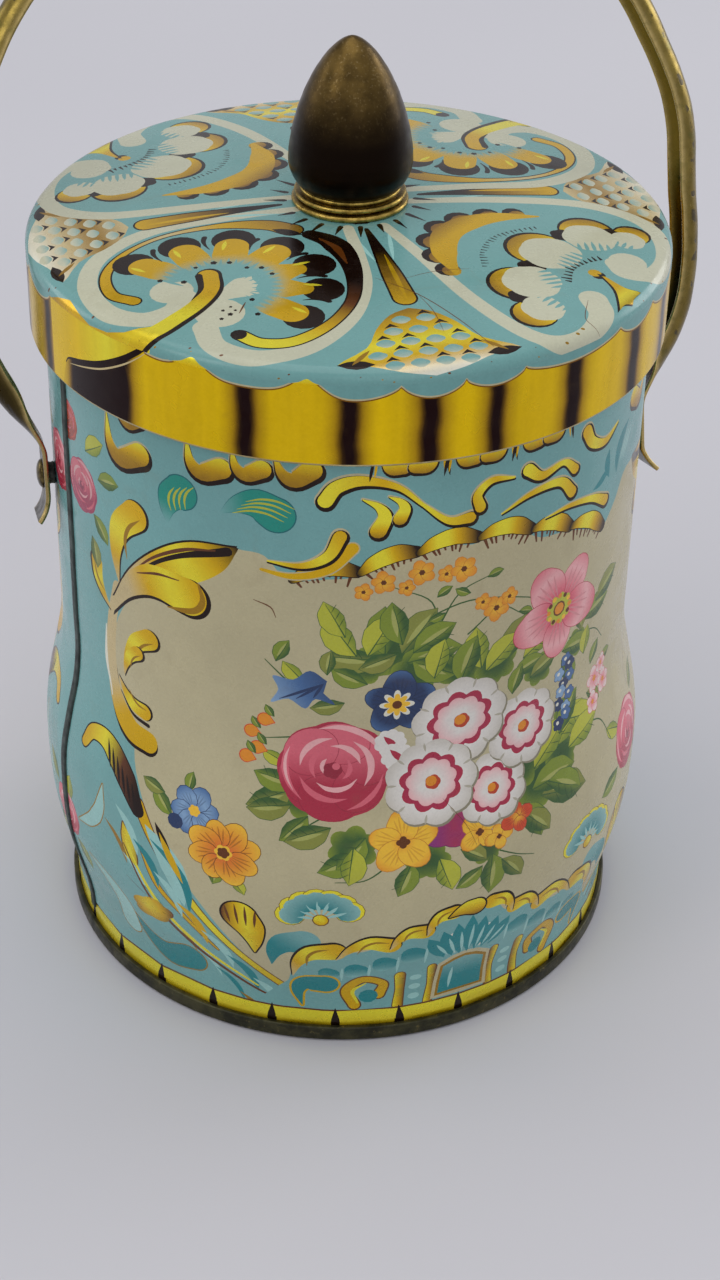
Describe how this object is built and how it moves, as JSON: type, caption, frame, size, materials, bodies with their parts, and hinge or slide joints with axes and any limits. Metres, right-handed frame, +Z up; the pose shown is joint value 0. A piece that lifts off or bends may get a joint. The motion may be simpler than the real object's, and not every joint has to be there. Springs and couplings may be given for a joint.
{
  "type": "cookie tin",
  "caption": "Round printed-tinplate cookie tin with a soft bulge, a lift-off domed lid with an acorn knob, and a swinging half-round brass bail on riveted pivots.",
  "frame": {"origin": "on the floor, at the centre of the base", "axes": "+Z up the tin's axis; the bail's pivot axis lies along X; the bail leans back towards +Y, so -Y is the front"},
  "size_m": [0.139, 0.1184, 0.2051],
  "materials": {
    "printed_body": "glossy lithographed tinplate",
    "printed_lid": "glossy lithographed tinplate",
    "base_ring": "dark worn lacquer on tinplate",
    "polished_brass": "lacquered, slightly worn",
    "dark_bronze": "dark patina, rubbed bright on top",
    "worn_brass": "tarnished, bright on the edges",
    "rivet_brass": "tarnished",
    "dark_steel": "blackened",
    "plain_steel": "plain"
  },
  "bodies": {
    "tin": {"body_shell": "printed_body", "base_plate": "base_ring", "left_rivet": "rivet_brass", "right_rivet": "rivet_brass", "left_spacer": "dark_steel", "right_spacer": "dark_steel", "left_inner_washer": "plain_steel", "right_inner_washer": "plain_steel"},
    "lid": {"lid_shell": "printed_lid", "finial_collar": "polished_brass", "finial_knob": "dark_bronze", "finial_screw": "plain_steel", "finial_washer": "plain_steel"},
    "handle": {"handle_strap": "worn_brass"}
  },
  "joints": [
    {"name": "lid_lift", "type": "slide", "parent": "tin", "child": "lid", "axis": [0, 0, 1], "range_m": [0, 0.02]},
    {"name": "handle_swing", "type": "hinge", "parent": "tin", "child": "handle", "pos_m": [0, 0, 0.0998], "axis": [1, 0, 0], "range_deg": [-126, 163]}
  ]
}
